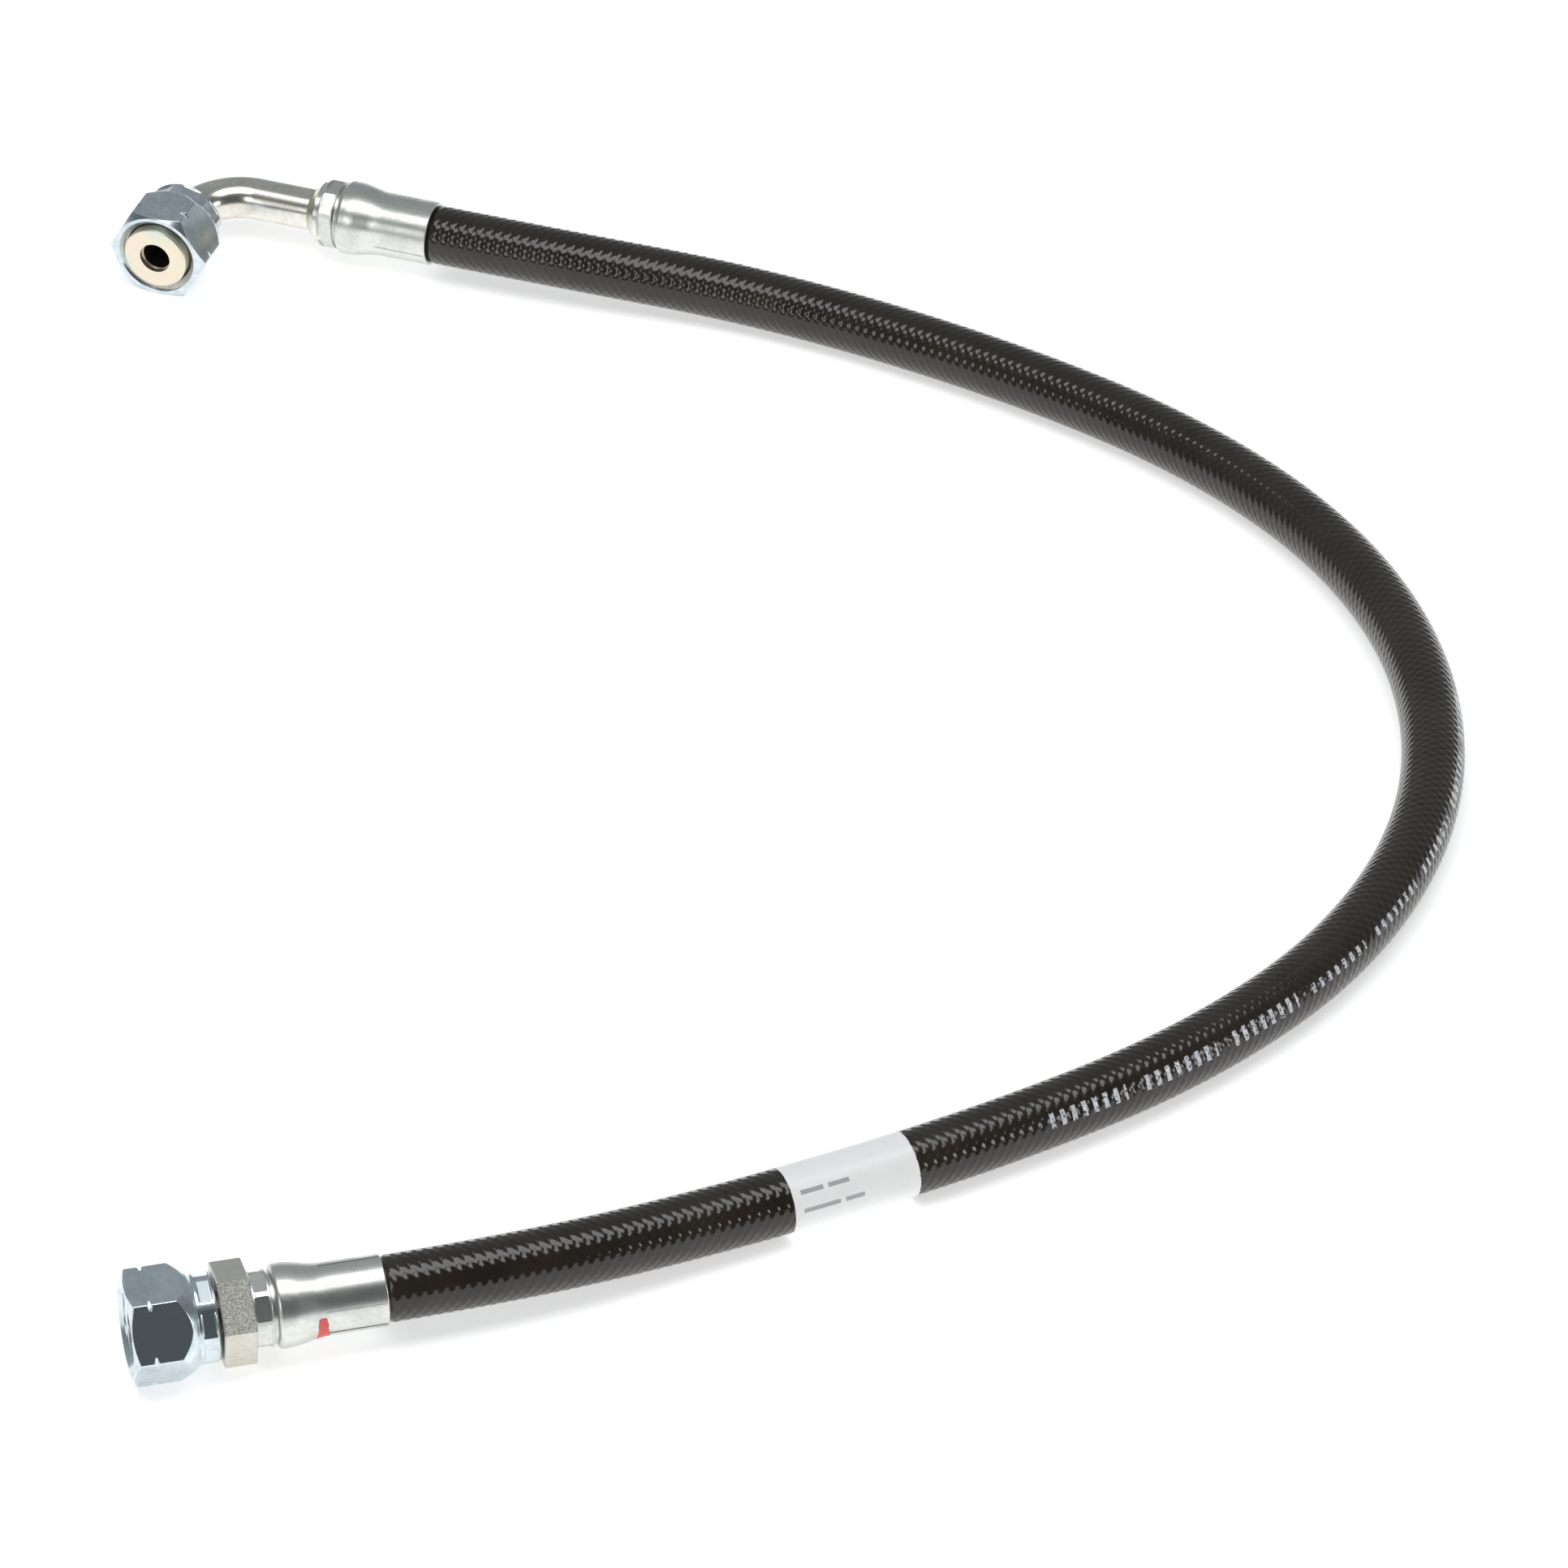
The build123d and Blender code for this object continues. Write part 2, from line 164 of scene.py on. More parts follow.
# ---- Meshes made of rings -------------------------------------------------------------
def ring_mesh(name, grid, materials, row_material=None, lengths=None):
    """A closed mesh from a grid of points whose rows and columns both run round."""
    rows, columns = grid.shape[:2]
    row, column = np.meshgrid(np.arange(rows), np.arange(columns), indexing="ij")
    next_row, next_column = (row + 1) % rows, (column + 1) % columns
    corners = np.stack(
        [
            row * columns + column,
            row * columns + next_column,
            next_row * columns + next_column,
            next_row * columns + column,
        ],
        axis=-1,
    ).reshape(-1, 4)
    points = grid.reshape(-1, 3)
    a, b, c, d = (points[corners[:, k]] for k in range(4))
    volume = (np.cross(a, b) * c).sum() + (np.cross(a, c) * d).sum()
    place = lengths if lengths is not None else np.arange(rows) * 1.0
    across = np.stack([column, column + 1, column + 1, column], -1) / columns
    along = np.stack([place[row], place[row], place[next_row], place[next_row]], -1)
    maps = np.stack([across, along], -1).reshape(-1, 4, 2)
    if volume < 0:
        corners, maps = corners[:, ::-1], maps[:, ::-1]
    mesh = bpy.data.meshes.new(name)
    mesh.vertices.add(len(points))
    mesh.vertices.foreach_set("co", points.ravel())
    mesh.loops.add(corners.size)
    mesh.loops.foreach_set("vertex_index", corners.ravel())
    mesh.polygons.add(len(corners))
    mesh.polygons.foreach_set("loop_start", np.arange(len(corners)) * 4)
    if row_material is not None:
        mesh.polygons.foreach_set("material_index", np.repeat(row_material, columns))
    mesh.uv_layers.new(name="along")
    mesh.uv_layers["along"].uv.foreach_set("vector", maps.ravel())
    mesh.update(calc_edges=True)
    mesh.polygons.foreach_set("use_smooth", np.ones(len(corners), dtype=bool))
    for material in materials:
        mesh.materials.append(getattr(material, "material", material))
    thing = bpy.data.objects.new(name, mesh)
    bpy.context.scene.collection.objects.link(thing)
    return thing


def eased(value, low, high):
    """0 below low, 1 above high and smooth between them."""
    share = np.clip((value - low) / (high - low), 0, 1)
    return share * share * (3 - 2 * share)


def soft_max(a, b, blend):
    near = np.clip(blend - np.abs(a - b), 0, None) / blend
    return np.maximum(a, b) + near**2 * blend / 4


# ---- Hose route -----------------------------------------------------------------------
CUT_END_B = 33.7
LYING = -4.5
ROUTE = [
    (0.0, 0.0, 0.0),
    (52.5, 0.0, 0.0),
    (116.0, 12.5, LYING),
    (188.5, 27.5, LYING),
    (253.0, 49.0, LYING),
    (307.0, 84.0, LYING),
    (346.0, 136.0, LYING),
    (363.0, 197.5, LYING),
    (357.5, 260.5, LYING),
    (330.0, 320.5, LYING),
    (284.0, 375.0, LYING),
    (225.0, 427.0, LYING),
    (162.5, 458.5, 0.0),
    (115.5, 489.0, 0.0),
]
line = bpy.data.curves.new("hose_route", "CURVE")
line.dimensions = "3D"
line.resolution_u = 200
spline = line.splines.new("NURBS")
spline.points.add(len(ROUTE) - 1)
for point, (x, y, z) in zip(spline.points, ROUTE):
    point.co = ((x + CUT_END_B) * MM, y * MM, z * MM, 1)
spline.order_u = 3
spline.use_endpoint_u = True
route = bpy.data.objects.new("hose_route", line)
bpy.context.scene.collection.objects.link(route)
traced = bpy.data.meshes.new_from_object(route)
centreline = np.array([tuple(v.co) for v in traced.vertices])
bpy.data.objects.remove(route)
bpy.data.meshes.remove(traced)
steps = np.linalg.norm(np.diff(centreline, axis=0), axis=1)
travelled = np.concatenate([[0], np.cumsum(steps)])
hose_length = travelled[-1]


def stations(lengths):
    """Points of the route at these lengths, and the sideways and upward directions."""
    middle = np.stack([np.interp(lengths, travelled, centreline[:, k]) for k in range(3)], -1)
    reach = 1.5 * MM
    after, before = (
        np.stack(
            [np.interp(np.clip(lengths + way, 0, hose_length), travelled, centreline[:, k])
             for k in range(3)],
            -1,
        )
        for way in (reach, -reach)
    )
    ahead = after - before
    ahead /= np.linalg.norm(ahead, axis=1)[:, None]
    side = np.cross(ahead, (0, 0, 1.0))
    side /= np.linalg.norm(side, axis=1)[:, None]
    return middle, side, np.cross(side, ahead)


def rings(lengths, radius, count):
    """Rings of points round the route. radius is one number, or one for each point."""
    middle, side, up = stations(lengths)
    angle = np.arange(count) * 2 * math.pi / count
    out = (
        np.cos(angle)[None, :, None] * up[:, None, :]
        + np.sin(angle)[None, :, None] * side[:, None, :]
    )
    return middle[:, None, :] + out * np.broadcast_to(radius, (len(lengths), count))[:, :, None]


# ---- Hose -----------------------------------------------------------------------------
HOSE_R = 8.75 * MM
BORE_R = 4.75 * MM
CRIMP_R = 8.2 * MM
CRIMP_GAP = 0.05 * MM
INSERTION = 22 * MM
FLARE_LEAD = 0.2 * MM
FLARE = 1.6 * MM
STRANDS = 12  # in each of the braid's two directions
LAY = 34.0 * MM
SWELL = 0.12 * MM  # how far a strand rises where it crosses over another
ROUND = 0.16 * MM  # how far a strand's middle stands above its edges
VALLEY = 0.13 * MM  # how far the strands' edges lie inside HOSE_R
STRAND_BLEND = 0.05 * MM
RING_STEP = 0.34 * MM
BORE_RINGS = 240
AROUND = 120


def braid_height(lengths, count):
    """How far the cover stands out over a braid of crossing strands, one over one under."""
    angle = np.arange(count)[None, :] / count
    run = lengths[:, None] / LAY
    a, b = STRANDS * (run + angle), STRANDS * (run - angle)
    strand_a, strand_b = np.round(a), np.round(b)
    over_b = SWELL * np.cos(math.pi * (a + strand_b)) + ROUND * (1 - 4 * (b - strand_b) ** 2)
    over_a = -SWELL * np.cos(math.pi * (b + strand_a)) + ROUND * (1 - 4 * (a - strand_a) ** 2)
    return soft_max(over_a, over_b, STRAND_BLEND)


hose_rings = np.linspace(0, hose_length, round(hose_length / RING_STEP))
inside = np.minimum(hose_rings, hose_length - hose_rings)
free = eased(inside, INSERTION - FLARE_LEAD, INSERTION + FLARE)[:, None]
hose_radius = CRIMP_R - CRIMP_GAP + (HOSE_R - CRIMP_R - VALLEY + CRIMP_GAP) * free
hose_radius = hose_radius + free * braid_height(hose_rings, AROUND)
bore_rings = np.linspace(hose_length, 0, BORE_RINGS)

# A row of worn grey ticks along the hose. Widths round the hose are shares of a turn.
INK_START, INK_END = 206 * MM, 436 * MM
INK_BOLD_END = 292 * MM
INK_PLACE = 0.165
INK_HALF_WIDTH = 0.024
INK_BOLD_EXTRA = 0.014
TICK_STEP, TICK_SHARE = 3.3 * MM, 0.42
GROUP_STEP, GROUP_SHARE = 9 * TICK_STEP, 0.8
urethane = Material("cover_urethane", "UV", Roughness=0.16, IOR=1.43, Coat_Weight=0.3)
urethane.shader.inputs["Coat Roughness"].default_value = 0.08
parts = urethane.node("ShaderNodeSeparateXYZ")
urethane.join(urethane.place, parts.inputs[0])
turn_share, run_length = parts.outputs[0], parts.outputs[1]
body_place = urethane.node("ShaderNodeTexCoord").outputs["Object"]
smudge = urethane.noise(60, 4, 0.6, place=body_place)
skin = urethane.noise(1500, 3, 0.6, place=body_place)
brown = urethane.mix(
    urethane.spread(smudge, 0.0, 1.0), colour(0.016, 0.011, 0.008), colour(0.026, 0.019, 0.013)
)
off_line = urethane.math("ABSOLUTE", urethane.math("SUBTRACT", turn_share, INK_PLACE))
bold = urethane.math("LESS_THAN", run_length, INK_BOLD_END)
half_width = urethane.math("MULTIPLY_ADD", bold, INK_BOLD_EXTRA, INK_HALF_WIDTH)
in_line = urethane.math("LESS_THAN", off_line, half_width)
after_start = urethane.math("GREATER_THAN", run_length, INK_START)
before_end = urethane.math("LESS_THAN", run_length, INK_END)
in_tick, in_group = (
    urethane.math(
        "LESS_THAN", urethane.math("FRACT", urethane.math("DIVIDE", run_length, step)), share
    )
    for step, share in ((TICK_STEP, TICK_SHARE), (GROUP_STEP, GROUP_SHARE))
)
worn = urethane.spread(urethane.noise(1100, 2, 0.5, place=body_place), 0.0, 1.0, 0.36, 0.46)
ink = in_line
for share in (in_tick, in_group, after_start, before_end, worn):
    ink = urethane.math("MULTIPLY", ink, share)
urethane.feed(urethane.mix(ink, brown, colour(0.55, 0.58, 0.62)), "Base Color")
dulled = urethane.spread(urethane.math("ADD", smudge, skin), 0.12, 0.24, 0.7, 1.3)
urethane.feed(dulled, "Roughness")
urethane.bump(skin, 0.012 * MM, 0.5)

core_plastic = Material("core_plastic", Roughness=0.5)
core_cloud = core_plastic.noise(700, 3, 0.5)
core_plastic.feed(
    core_plastic.mix(core_cloud, colour(0.70, 0.67, 0.58), colour(0.82, 0.79, 0.72)), "Base Color"
)
core_plastic.bump(core_cloud, 0.02 * MM, 0.4)

hose = ring_mesh(
    "hose",
    np.concatenate(
        [rings(hose_rings, hose_radius, AROUND), rings(bore_rings, BORE_R, AROUND)]
    ),
    [urethane, core_plastic],
    np.repeat([0, 1], [len(hose_rings) - 1, len(bore_rings) + 1]),
    np.concatenate([hose_rings, bore_rings]),
)
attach(hose, "hose")
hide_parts("core_tube", "inner_braid", "outer_braid", "cover")

# ---- Label ----------------------------------------------------------------------------
label_start, label_end = 132.7 * MM, 168.8 * MM
LABEL_R = 8.9 * MM
LABEL_WALL = 0.25 * MM
LABEL_AROUND = 180
LABEL_RINGS = 110
BAR_HALF_WIDTH = 0.011  # a share of a turn
LABEL_RELIEF = 0.16  # the share of the strands' relief that shows through the film
OVERLAP_HEIGHT = 0.06 * MM
EDGE_ROUND, EDGE_DROP = 0.25 * MM, 0.05 * MM
label_rings = np.linspace(label_start, label_end, LABEL_RINGS)
edge = np.minimum(label_rings - label_start, label_end - label_rings)[:, None]
telegraph = LABEL_RELIEF * (braid_height(label_rings, LABEL_AROUND) - VALLEY)
label_angle = np.arange(LABEL_AROUND)[None, :] / LABEL_AROUND
overlap = eased(label_angle, 0.43, 0.4305) * (1 - eased(label_angle, 0.53, 0.55))
edge_drop = EDGE_DROP * (1 - eased(edge, 0, EDGE_ROUND))
label_radius = LABEL_R + telegraph + OVERLAP_HEIGHT * overlap - edge_drop
film = Material("label_film", "UV", Roughness=0.34)
film_parts = film.node("ShaderNodeSeparateXYZ")
film.join(film.place, film_parts.inputs[0])
film_turn, film_run = film_parts.outputs[0], film_parts.outputs[1]
film_place = film.node("ShaderNodeTexCoord").outputs["Object"]


def printed_bar(place, start, end):
    """1 inside a thin printed bar along the label, from start to end in mm, and 0 elsewhere."""
    off = film.math("ABSOLUTE", film.math("SUBTRACT", film_turn, place))
    thin = film.math("LESS_THAN", off, BAR_HALF_WIDTH)
    after = film.math("GREATER_THAN", film_run, label_start + start * MM)
    before = film.math("LESS_THAN", film_run, label_start + end * MM)
    return film.math("MULTIPLY", thin, film.math("MULTIPLY", after, before))


bars = printed_bar(0.12, 2.5, 9.0)
for place, start, end in ((0.12, 10.5, 16.5), (0.21, 2.5, 13.0), (0.21, 14.5, 20.0)):
    bars = film.math("MAXIMUM", bars, printed_bar(place, start, end))
film_cloud = film.noise(220, 3, 0.5, place=film_place)
paper = film.mix(film_cloud, colour(0.86, 0.86, 0.85), colour(0.92, 0.92, 0.92))
film.feed(film.mix(bars, paper, colour(0.42, 0.42, 0.43)), "Base Color")
film.feed(film.spread(film_cloud, 0.28, 0.42), "Roughness")
film.bump(film.noise(1300, 2, 0.5, place=film_place), 0.02 * MM, 0.3)
label = ring_mesh(
    "label",
    np.concatenate(
        [
            rings(label_rings, label_radius, LABEL_AROUND),
            rings(label_rings[::-1], LABEL_R - LABEL_WALL, LABEL_AROUND),
        ]
    ),
    [film],
    None,
    np.concatenate([label_rings, label_rings[::-1]]),
)
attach(label, "hose")
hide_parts("label_sleeve")

# ---- Fitting frames -------------------------------------------------------------------
joints = {joint["name"]: joint for joint in frame["joints"]}


def fitting_axis(name):
    """(centre of the seal face, outward direction) of an end."""
    joint = joints[name]
    return Vector(joint["pos_m"]), Vector(joint["axis"]).normalized()


face_a, outlet_a = fitting_axis("nut_a_spin")
face_b, outlet_b = fitting_axis("nut_b_spin")
nose_a = (Vector(ROUTE[-1]) - Vector(ROUTE[-2])).normalized()


def axis_turn(direction):
    """The Mapping rotation that brings this direction in the XY plane to X."""
    return (0, 0, -math.atan2(direction.y, direction.x))


# ---- Nuts: millimetres, with lengths measured back from the nut's mouth ---------------
NUT_AF = 27.0
CORNER_R = NUT_AF / math.sqrt(3)
NUT_LENGTH = 23.0
HEX_LENGTH = 12.3
NECK_HOLE_R = 6.75
COLLAR_R, COLLAR_BEVEL = 12.0, 0.6
SHOULDER = 17.6
CONE_R, CONE_END = 12.9, 16.6
NOTCH_MIDDLE, NOTCH_DEPTH = 5.5, 0.8
NOTCH_HALF_FLOOR, NOTCH_HALF_WIDTH = 0.2, 0.7
FRONT_R = 13.2
FRONT_BEVEL = math.radians(30)
MOUTH_R = 12.2
COUNTERSINK = 2.012
THREAD_MINOR = 10.188
THREAD_DEPTH = 0.812
THREAD_END = 11.012
PITCH = 1.5
GROOVE_HALF_WIDTH, FLANK_WIDTH = 0.375, 0.3125  # shares of the pitch
RELIEF_R, RELIEF_LEAD = 10.8, 0.612
SEAT_R = 7.75
JAW_COUNT, JAW_R = 8, COLLAR_R - 0.55
NUT_AROUND = 360
CORNER_CUT, RUN_STEP = 0.1, 0.18
CORNER_BLEND = 0.14


def softened(outline, cut, step):
    """A closed outline with its corners cut a little and its runs divided."""
    corners = np.array(outline)
    result = []
    for k, corner in enumerate(corners):
        before, after = corners[k - 1], corners[(k + 1) % len(corners)]
        back = (before - corner) / np.linalg.norm(before - corner)
        on = (after - corner) / np.linalg.norm(after - corner)
        first, last = corner + back * cut, corner + on * cut
        result += [first, (first + last + 2 * corner) / 4, last]
        end = after - on * cut
        pieces = max(1, math.ceil(np.linalg.norm(end - last) / step))
        result += [last + (end - last) * j / pieces for j in range(1, pieces)]
    return np.array(result)


def nut(name, body, node, mouth, outward, material):
    """A swivel nut as one closed mesh: hexagon, chamfers, notches, crimped collar, thread."""
    depth = (CORNER_R - FRONT_R) * math.tan(FRONT_BEVEL)
    outline = [
        (NECK_HOLE_R, -NUT_LENGTH),
        (COLLAR_R - COLLAR_BEVEL, -NUT_LENGTH),
        (COLLAR_R, -NUT_LENGTH + COLLAR_BEVEL),
        (COLLAR_R, -SHOULDER),
        (CONE_R, -CONE_END),
        (CORNER_R, -HEX_LENGTH),
        (CORNER_R, -NOTCH_MIDDLE - NOTCH_HALF_WIDTH),
        (CORNER_R - NOTCH_DEPTH, -NOTCH_MIDDLE - NOTCH_HALF_FLOOR),
        (CORNER_R - NOTCH_DEPTH, -NOTCH_MIDDLE + NOTCH_HALF_FLOOR),
        (CORNER_R, -NOTCH_MIDDLE + NOTCH_HALF_WIDTH),
        (CORNER_R, -depth),
        (FRONT_R, 0),
        (MOUTH_R, 0),
        (THREAD_MINOR, -COUNTERSINK),
        (THREAD_MINOR, -THREAD_END),
        (RELIEF_R, -THREAD_END - RELIEF_LEAD),
        (RELIEF_R, -SHOULDER),
        (SEAT_R, -SHOULDER),
        (NECK_HOLE_R, -SHOULDER + NECK_HOLE_R - SEAT_R),
    ]
    profile = softened(outline, CORNER_CUT, RUN_STEP)
    inner = (profile[:, 0] < MOUTH_R + 0.05) & (profile[:, 1] > -THREAD_END - 0.7)
    radius, place = profile[:, 0][:, None], profile[:, 1][:, None]
    angle = np.arange(NUT_AROUND)[None, :] * 2 * math.pi / NUT_AROUND
    sixth = math.pi / 3
    flat = NUT_AF / 2 / np.cos((angle % sixth) - sixth / 2)
    surface = -soft_max(-radius, -flat, CORNER_BLEND)
    between = 2 * math.pi / JAW_COUNT
    jaw = JAW_R / np.cos((angle - sixth / 2 + between / 2) % between - between / 2)
    pressed = eased(place, -22.3, -21.9) * (1 - eased(place, -18.7, -18.3))
    surface = surface - pressed * np.clip(surface - jaw, 0, None) * (radius > RELIEF_R + 0.2)
    phase = (place / PITCH - angle / (2 * math.pi)) % 1.0
    groove = np.clip((GROOVE_HALF_WIDTH - np.abs(phase - 0.5)) / FLANK_WIDTH, 0, 1)
    fade = eased(place, -THREAD_END, -THREAD_END + 1.0)
    cut = THREAD_MINOR + THREAD_DEPTH * groove * fade
    surface = np.where(inner[:, None], np.maximum(surface, cut), surface)
    across = UP.cross(outward)
    grid = (
        np.array(mouth)
        + MM * surface[:, :, None] * np.cos(angle)[:, :, None] * np.array(across)
        + MM * surface[:, :, None] * np.sin(angle)[:, :, None] * np.array(UP)
        + MM * (place + 0 * angle)[:, :, None] * np.array(outward)
    )
    thing = ring_mesh(name, grid, [material])
    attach(thing, body)
    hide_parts(node)
    return thing


# How far each nut's mouth stands in front of the seal face.
for end, face, outward, mouth_reach in (
    ("b", face_b, outlet_b, 11.5 * MM),
    ("a", face_a, outlet_a, -1.0 * MM),
):
    blue_zinc = plated_metal(
        "nut_zinc_" + end,
        colour(0.74, 0.79, 0.83),
        colour(0.52, 0.60, 0.64),
        0.2,
        axis_turn(outward),
        0.25,
    )
    nut(
        f"nut_{end}_shell",
        "nut_" + end,
        "swivel_nut_" + end,
        face + outward * mouth_reach,
        outward,
        blue_zinc,
    )

# ---- Fixed metal ----------------------------------------------------------------------
nodes = frame["nodes"]
for end, direction in (("b", outlet_b), ("a", nose_a)):
    dress(
        nodes["ferrule_" + end],
        plated_metal(
            "ferrule_zinc_" + end,
            colour(0.73, 0.735, 0.71),
            colour(0.58, 0.60, 0.56),
            0.31,
            axis_turn(direction),
            0.6,
        ),
    )
dress(
    nodes["hose_nipple_a"],
    plated_metal(
        "collar_zinc", colour(0.80, 0.79, 0.75), colour(0.70, 0.69, 0.64), 0.25, axis_turn(nose_a)
    ),
)
dress(
    nodes["elbow_tube_a"],
    plated_metal(
        "tube_zinc",
        colour(0.80, 0.78, 0.73),
        colour(0.66, 0.62, 0.55),
        0.22,
        axis_turn(nose_a),
        0.3,
    ),
)

nickel = plated_metal(
    "nipple_nickel",
    colour(0.66, 0.64, 0.58),
    colour(0.56, 0.54, 0.48),
    0.33,
    axis_turn(outlet_b),
    0.2,
)
# The body hexagon's front face is gritty and its other faces are plain.
HEX_TURN = math.radians(46.5)
ON_FACE = 11.9 * MM
rough_side = nickel.node("ShaderNodeVectorMath", operation="DOT_PRODUCT")
nickel.join(nickel.place, rough_side.inputs[0])
rough_side.inputs[1].default_value = (0, -math.cos(HEX_TURN), math.sin(HEX_TURN))
on_side = nickel.math("GREATER_THAN", rough_side.outputs["Value"], ON_FACE)
grit = nickel.noise(2300, 3, 0.7)
blasted = nickel.mix(
    nickel.spread(grit, 0.0, 1.0, 0.42, 0.6), colour(0.33, 0.33, 0.29), colour(0.76, 0.75, 0.69)
)
plain = nickel.shader.inputs["Base Color"].links[0].from_socket
nickel.feed(nickel.mix(on_side, plain, blasted), "Base Color")
nickel.bump(nickel.math("MULTIPLY", grit, nickel.spread(on_side, 0.03, 1.0, 0, 1)), 0.6 * MM, 0.9)
dress(nodes["hose_nipple_b"], nickel)

sleeve = Material("sleeve_passivated", Metallic=1.0)
rainbow = sleeve.noise(45, 2, 0.5)
tones = sleeve.node("ShaderNodeValToRGB")
sleeve.join(rainbow, tones.inputs[0])
tones.color_ramp.elements[0].position = 0.32
tones.color_ramp.elements[0].color = colour(0.82, 0.66, 0.60)
tones.color_ramp.elements[1].position = 0.68
tones.color_ramp.elements[1].color = colour(0.66, 0.70, 0.64)
middle_tone = tones.color_ramp.elements.new(0.5)
middle_tone.color = colour(0.80, 0.73, 0.58)
sleeve.feed(tones.outputs[0], "Base Color")
sleeve.feed(sleeve.spread(sleeve.noise(900, 3, 0.6), 0.3, 0.42), "Roughness")
sleeve.bump(sleeve.noise(2600, 2, 0.5), 0.01 * MM, 0.4)
dress(nodes["seal_sleeve_a"], sleeve)

for name in ("nipple_braze_a", "sleeve_braze_a"):
    braze = Material(name, Metallic=1.0)
    lumps = braze.noise(1400, 3, 0.6)
    braze.feed(
        braze.mix(lumps, colour(0.62, 0.50, 0.28), colour(0.74, 0.68, 0.55)), "Base Color"
    )
    braze.feed(braze.spread(lumps, 0.3, 0.5), "Roughness")
    braze.bump(lumps, 0.08 * MM, 0.5)
    dress(nodes[name], braze)

# ---- Paint mark on ferrule B ----------------------------------------------------------
shell = nodes["ferrule_b"]
shell_tree = BVHTree.FromPolygons(
    [v.co.copy() for v in shell.data.vertices], [tuple(p.vertices) for p in shell.data.polygons]
)


def on_shell(x, angle, stand_off):
    """The point of ferrule B's outside at this place, moved out by stand_off."""
    out = Vector((0, -math.cos(angle), math.sin(angle)))
    hit = shell_tree.ray_cast(Vector((x, 0, 0)) + out * 0.02, -out)[0]
    return tuple(hit + out * stand_off)


MARK_X = 38.3 * MM
MARK_TOP, MARK_BOTTOM = 10, -52  # degrees above the horizontal, on the side of the camera
MARK_LIFT, MARK_SINK = 0.03 * MM, -0.05 * MM
mark_rows, mark_columns = 40, 15
mark_grid = []
for row in range(mark_rows):
    share = row / (mark_rows - 1)
    angle = math.radians(MARK_TOP + (MARK_BOTTOM - MARK_TOP) * share)
    ragged = 0.12 * math.sin(11 * share) + 0.08 * math.sin(29 * share + 1)
    left = -(0.95 + 0.75 * share**0.5 + 0.5 * ragged) * MM
    right = (0.75 + 1.3 * share**0.6 + ragged) * MM
    if row in (0, mark_rows - 1):
        left, right = left * 0.6, right * 0.6
    places = [MARK_X + left + (right - left) * c / (mark_columns - 1) for c in range(mark_columns)]
    top = [on_shell(place, angle, MARK_LIFT) for place in places]
    under = [on_shell(place, angle, MARK_SINK) for place in reversed(places)]
    mark_grid.append(top + under)
mark_points = np.array(mark_grid)


def strip_mesh(name, grid, material):
    """A closed skin from rows of points that each run round, with both ends filled."""
    rows, columns = grid.shape[:2]
    faces = [
        (
            r * columns + c,
            r * columns + (c + 1) % columns,
            (r + 1) * columns + (c + 1) % columns,
            (r + 1) * columns + c,
        )
        for r in range(rows - 1)
        for c in range(columns)
    ]
    half = columns // 2
    for start in (0, (rows - 1) * columns):
        for c in range(half - 1):
            quad = (start + c, start + c + 1, start + columns - 2 - c, start + columns - 1 - c)
            faces.append(quad if start else quad[::-1])
    mesh = bpy.data.meshes.new(name)
    mesh.from_pydata([tuple(p) for p in grid.reshape(-1, 3)], [], faces)
    mesh.materials.append(material.material)
    mesh.shade_smooth()
    thing = bpy.data.objects.new(name, mesh)
    bpy.context.scene.collection.objects.link(thing)
    return thing


paint = Material("mark_paint", Roughness=0.5)
streak = paint.noise(1200, 3, 0.6, stretch=((0, 0, 0), (1.6, 0.5, 0.5)))
paint.feed(paint.mix(streak, colour(0.62, 0.05, 0.05), colour(0.85, 0.16, 0.14)), "Base Color")
paint.feed(paint.spread(streak, 0.35, 0.6), "Roughness")
paint.bump(streak, 0.02 * MM, 0.6)
mark = strip_mesh("paint_mark", mark_points, paint)
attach(mark, "hose")

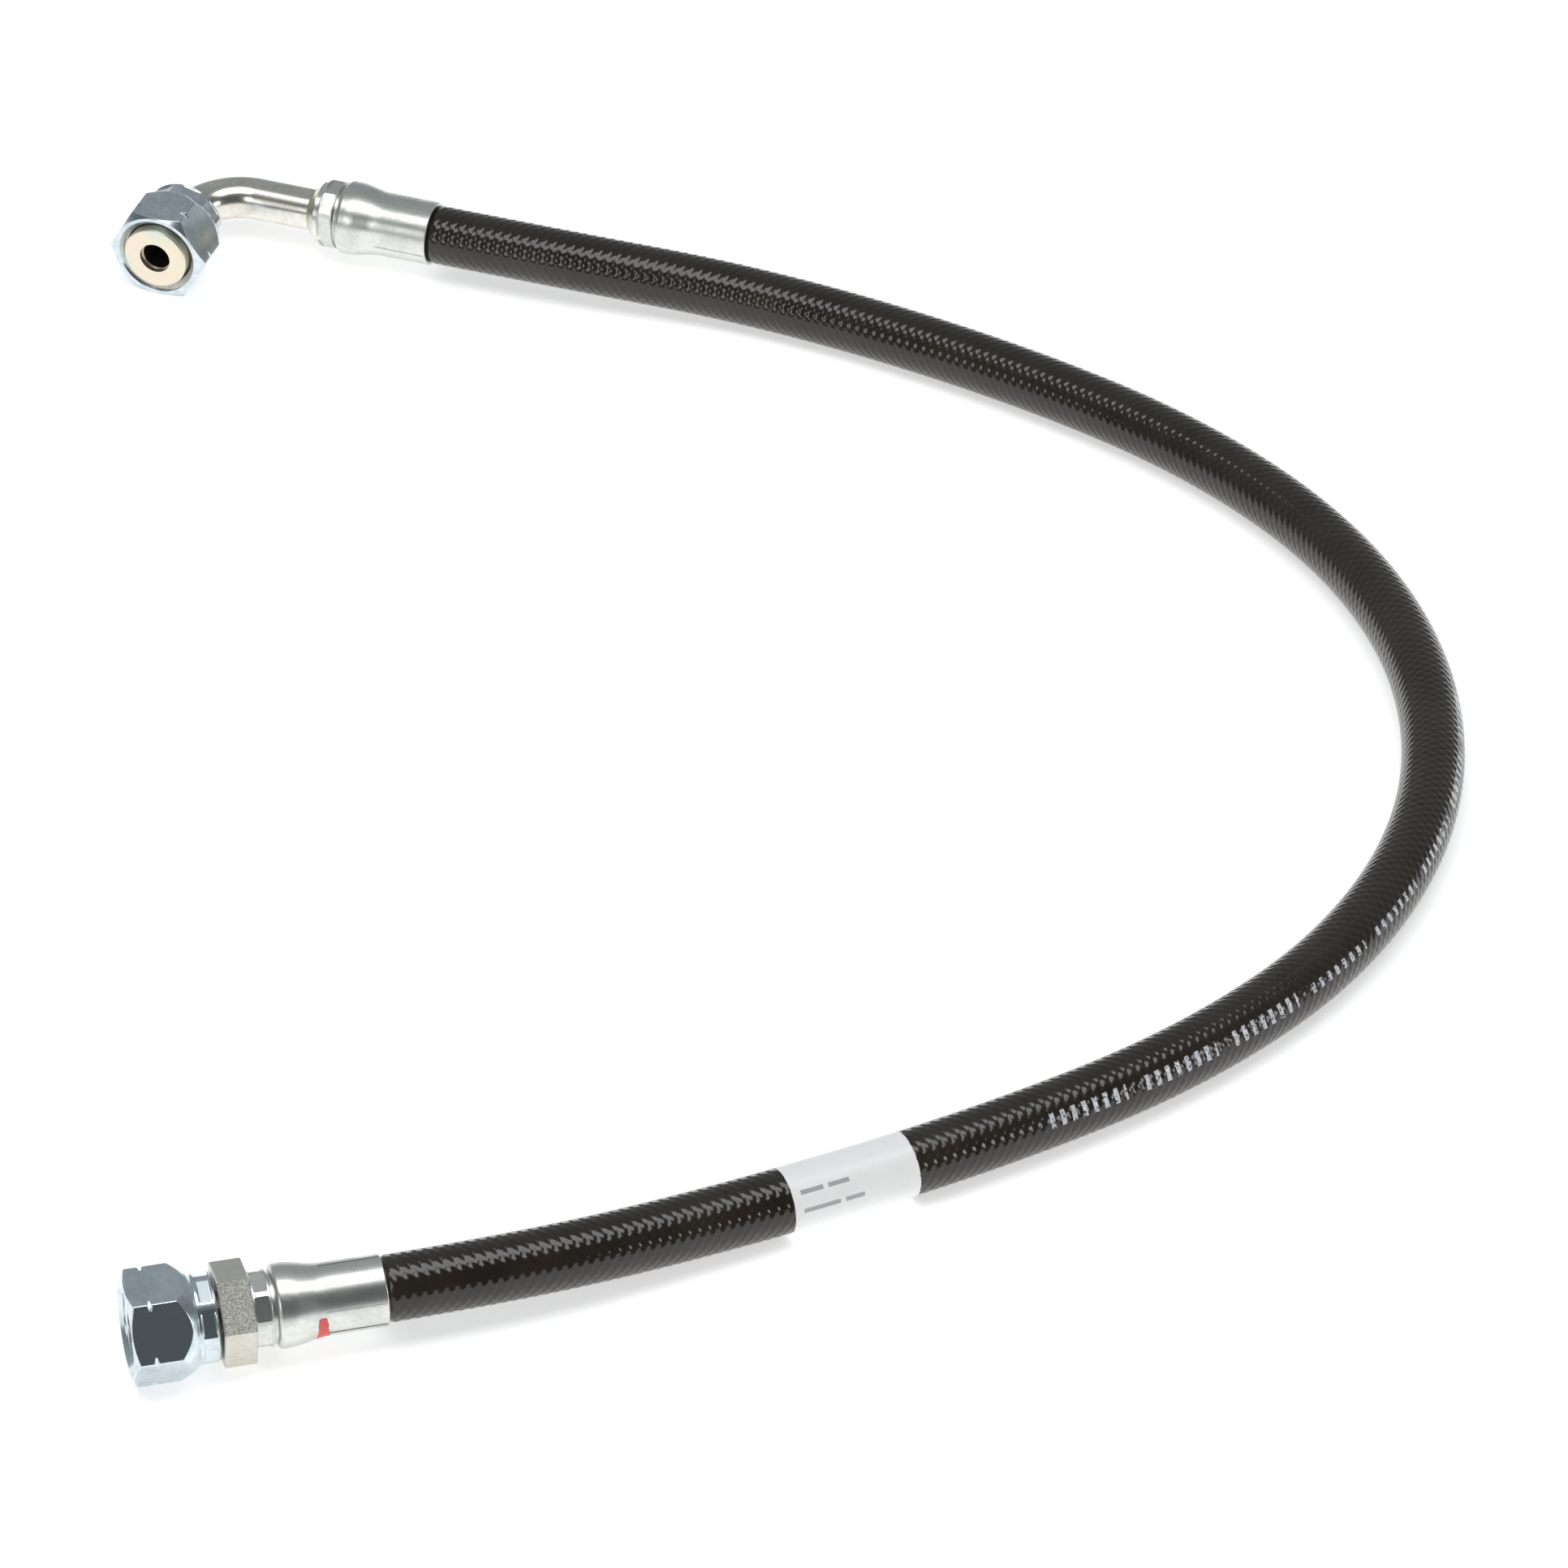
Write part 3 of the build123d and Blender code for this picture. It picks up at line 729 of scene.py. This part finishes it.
# ---- Floor, lights and surroundings ---------------------------------------------------
floor_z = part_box("swivel_nut_b")[0][2]
centre = Vector((0.18, 0.26, 0.0))
floor_mesh = bpy.data.meshes.new("floor")
FLOOR_REACH = 6.0
floor_corners = ((-1, -1), (1, -1), (1, 1), (-1, 1))
floor_mesh.from_pydata(
    [(FLOOR_REACH * x, FLOOR_REACH * y, floor_z) for x, y in floor_corners], [], [(0, 1, 2, 3)]
)
floor = bpy.data.objects.new("floor", floor_mesh)
bpy.context.scene.collection.objects.link(floor)
pale = Material("floor_pale", Roughness=0.6)
pale.feed(
    pale.mix(pale.noise(3, 2, 0.5), colour(0.86, 0.86, 0.86), colour(0.88, 0.88, 0.88)),
    "Base Color",
)
pale.shader.inputs["Emission Color"].default_value = colour(1, 1, 1)
pale.shader.inputs["Emission Strength"].default_value = 0.55
floor_mesh.materials.append(pale.material)


def soft_box(name, direction, distance, size, radiance):
    """A rectangular light that faces the middle of the object."""
    data = bpy.data.lights.new(name, "AREA")
    data.shape = "RECTANGLE"
    data.size, data.size_y = size
    data.energy = radiance * math.pi * size[0] * size[1]
    lamp = bpy.data.objects.new(name, data)
    bpy.context.scene.collection.objects.link(lamp)
    way = Vector(direction).normalized()
    lamp.location = centre + way * distance
    lamp.rotation_euler = way.to_track_quat("Z", "Y").to_euler()


soft_box("light_over", (-0.03, -0.14, 0.95), 1.5, (1.7, 0.8), 3.5)
soft_box("light_left", (-0.70, -0.60, 0.42), 1.9, (0.6, 0.7), 3.0)
soft_box("light_right", (0.78, -0.62, 0.26), 1.9, (0.5, 0.5), 5.2)

world = bpy.data.worlds.new("studio")
bpy.context.scene.world = world
world.use_nodes = True
tree = world.node_tree
sky = tree.nodes["Background"]
split = tree.nodes.new("ShaderNodeSeparateXYZ")
tree.links.new(tree.nodes.new("ShaderNodeTexCoord").outputs["Generated"], split.inputs[0])
toward = tree.nodes.new("ShaderNodeMapRange")
tree.links.new(split.outputs[1], toward.inputs["Value"])
toward.interpolation_type = "SMOOTHSTEP"
toward.inputs["From Min"].default_value = -0.6
toward.inputs["From Max"].default_value = 0.7
ramp = tree.nodes.new("ShaderNodeValToRGB")
ramp.color_ramp.elements[0].color = colour(0.085, 0.095, 0.1)
ramp.color_ramp.elements[1].color = colour(0.34, 0.37, 0.385)
tree.links.new(toward.outputs["Result"], ramp.inputs[0])
tree.links.new(ramp.outputs[0], sky.inputs[0])
sky.inputs[1].default_value = 1.0
